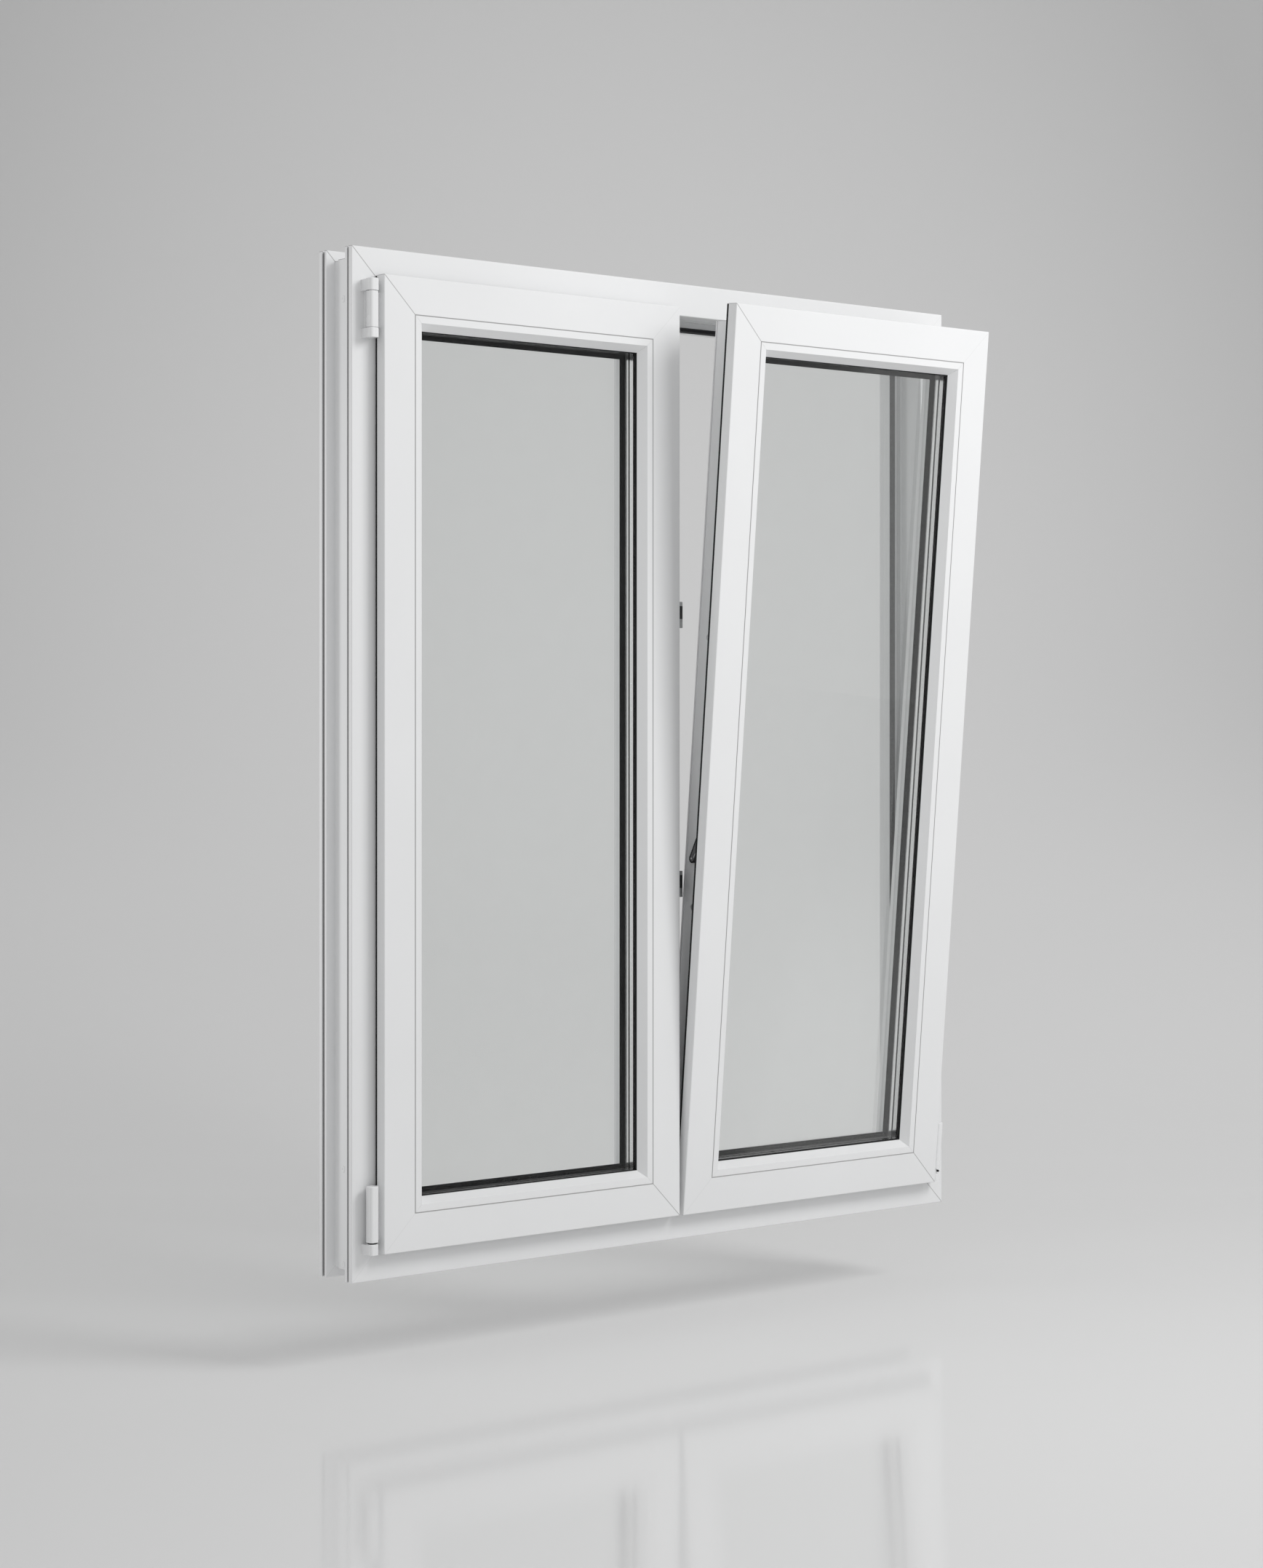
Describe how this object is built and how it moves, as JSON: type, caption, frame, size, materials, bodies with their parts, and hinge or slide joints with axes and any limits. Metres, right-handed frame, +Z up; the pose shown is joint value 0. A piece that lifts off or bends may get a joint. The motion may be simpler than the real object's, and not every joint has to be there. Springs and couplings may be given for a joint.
{
  "type": "pvc window",
  "caption": "Double-sash white plastic window with a floating mullion, the left sash closed and the right one tilted into the room.",
  "frame": {"origin": "middle of the front flange's lower edge, on which the frame is set into its wall opening", "axes": "-Y faces the room, +Y the outdoors, +X is to the right as seen from the room, +Z is up"},
  "size_m": [0.995, 0.1937, 1.24],
  "materials": {
    "profile": "smooth white PVC, satin",
    "gasket": "matt black sealing rubber",
    "glass": "clear float glass",
    "spacer": "matt aluminium bar",
    "hinge": "white hinge covers",
    "gear": "zinc-plated steel",
    "lever": "dark zinc-plated steel"
  },
  "bodies": {
    "root": {"bottom_faceplate": "gear", "frame_gasket": "gasket", "frame_head": "profile", "frame_left_jamb": "profile", "frame_right_jamb": "profile", "frame_sill": "profile", "frame_strikers": "gear", "left_lower_hinge_cup": "hinge", "left_lower_hinge_sleeve": "hinge", "left_sash_bottom_rail": "profile", "left_sash_glazing_beads": "profile", "left_sash_glazing_gaskets": "gasket", "left_sash_hinge_stile": "profile", "left_sash_inner_glass": "glass", "left_sash_meeting_stile": "profile", "left_sash_outer_glass": "glass", "left_sash_overlap_gasket": "gasket", "left_sash_spacer": "spacer", "left_sash_top_rail": "profile", "left_upper_hinge_bearing": "hinge", "left_upper_hinge_sleeve": "hinge", "lock_faceplate": "gear", "locking_cams": "gear", "misoperation_lever": "lever", "mullion_end_caps": "profile", "mullion_gasket": "gasket", "mullion_profile": "profile", "mullion_strikers": "gear", "right_lower_hinge_sleeve": "hinge", "right_lower_pivot_bearing": "hinge", "right_sash_bottom_rail": "profile", "right_sash_glazing_beads": "profile", "right_sash_glazing_gaskets": "gasket", "right_sash_hinge_stile": "profile", "right_sash_inner_glass": "glass", "right_sash_lock_stile": "profile", "right_sash_outer_glass": "glass", "right_sash_overlap_gasket": "gasket", "right_sash_spacer": "spacer", "right_sash_top_rail": "profile", "stay_arm": "gear", "stay_bearing": "hinge", "stay_faceplate": "gear", "stay_sliders": "gear", "stay_support_arm": "gear"}
  },
  "joints": []
}
